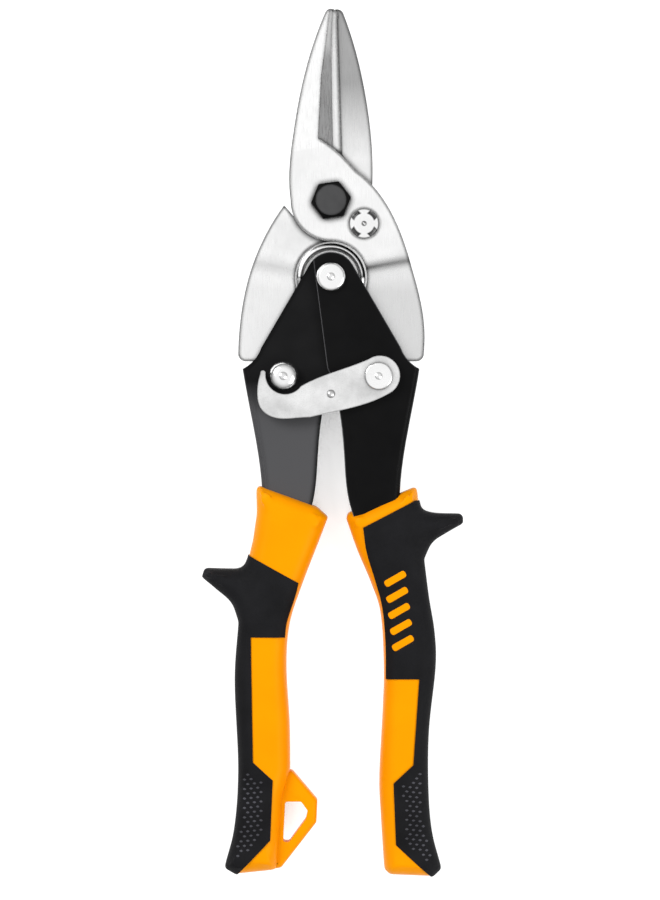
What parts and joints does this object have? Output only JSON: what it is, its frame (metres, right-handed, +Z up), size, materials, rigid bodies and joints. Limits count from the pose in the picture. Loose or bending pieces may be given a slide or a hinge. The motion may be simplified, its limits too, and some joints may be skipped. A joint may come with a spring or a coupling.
{
  "type": "aviation snips",
  "caption": "Straight-cut compound-action aviation snips with hollow-ground jaws, pressed handles, a hook latch and two-shot grips with thumb guards and a hang loop.",
  "frame": {"origin": "middle of the whole box's bottom, in the plane that the tool lies on", "axes": "+Y along the tool towards the blades' tips, +X to the right grip, +Z up through the pivot bolt's head"},
  "size_m": [0.0754, 0.25, 0.0206],
  "materials": {
    "jaw_steel": "satin, fine ground",
    "black_oxide": "black oxide, satin",
    "zinc_rivet": "bright zinc",
    "black_channel": "black electro-coat, satin",
    "grey_channel": "black electro-coat, satin, lighter",
    "latch_zinc": "tumbled zinc plate",
    "spring_steel": "bright wire",
    "bush_steel": "turned",
    "yellow_plastic": "satin moulded",
    "yellow_inlay": "satin moulded",
    "black_rubber": "matte, fine grain"
  },
  "bodies": {
    "pivot": {"pivot_bolt": "black_oxide", "pivot_washer": "zinc_rivet", "lock_nut": "black_oxide"},
    "front_jaw": {"front_jaw": "jaw_steel", "stop_pin": "zinc_rivet"},
    "rear_jaw": {"rear_jaw": "jaw_steel"},
    "right_handle": {"right_handle_channel": "black_channel", "handle_pivot_rivet": "zinc_rivet", "handle_pivot_washers": "bush_steel", "spring_bush": "bush_steel", "return_spring": "spring_steel", "right_jaw_rivet": "zinc_rivet", "right_tail_spacers": "bush_steel", "latch_wave_washer": "spring_steel", "right_grip_core": "yellow_plastic", "right_grip_overmould": "black_rubber", "right_grip_inlay": "yellow_inlay"},
    "left_handle": {"left_handle_channel": "grey_channel", "left_jaw_rivet": "zinc_rivet", "left_tail_spacers": "bush_steel", "left_grip_core": "yellow_plastic", "left_grip_overmould": "black_rubber"},
    "latch": {"latch": "latch_zinc"}
  },
  "joints": [
    {"name": "front_jaw_open", "type": "hinge", "parent": "pivot", "child": "front_jaw", "pos_m": [-0.00045, 0.0696, 0.01], "axis": [0, 0, 1], "range_deg": [0, 8], "deforming": ["return_spring"]},
    {"name": "rear_jaw_open", "type": "hinge", "parent": "pivot", "child": "rear_jaw", "pos_m": [-0.00045, 0.0696, 0.01], "axis": [0, 0, 1], "range_deg": [-8, 0]},
    {"name": "right_handle_swing", "type": "hinge", "parent": "front_jaw", "child": "right_handle", "pos_m": [0.0132, 0.0191, 0.01], "axis": [0, 0, 1], "range_deg": [0, 7]},
    {"name": "left_handle_swing", "type": "hinge", "parent": "rear_jaw", "child": "left_handle", "pos_m": [-0.0141, 0.0191, 0.01], "axis": [0, 0, 1], "range_deg": [-7, 0]},
    {"name": "latch_swing", "type": "hinge", "parent": "right_handle", "child": "latch", "pos_m": [0.0132, 0.0191, 0.01], "axis": [0, 0, 1], "range_deg": [0, 76]}
  ],
  "couplings": [
    {"joint": "rear_jaw_open", "follows": "front_jaw_open", "ratio": -1},
    {"joint": "right_handle_swing", "follows": "front_jaw_open", "ratio": 0.852},
    {"joint": "left_handle_swing", "follows": "front_jaw_open", "ratio": -0.852},
    {"joint": "latch_swing", "follows": "front_jaw_open", "ratio": 9.375}
  ]
}
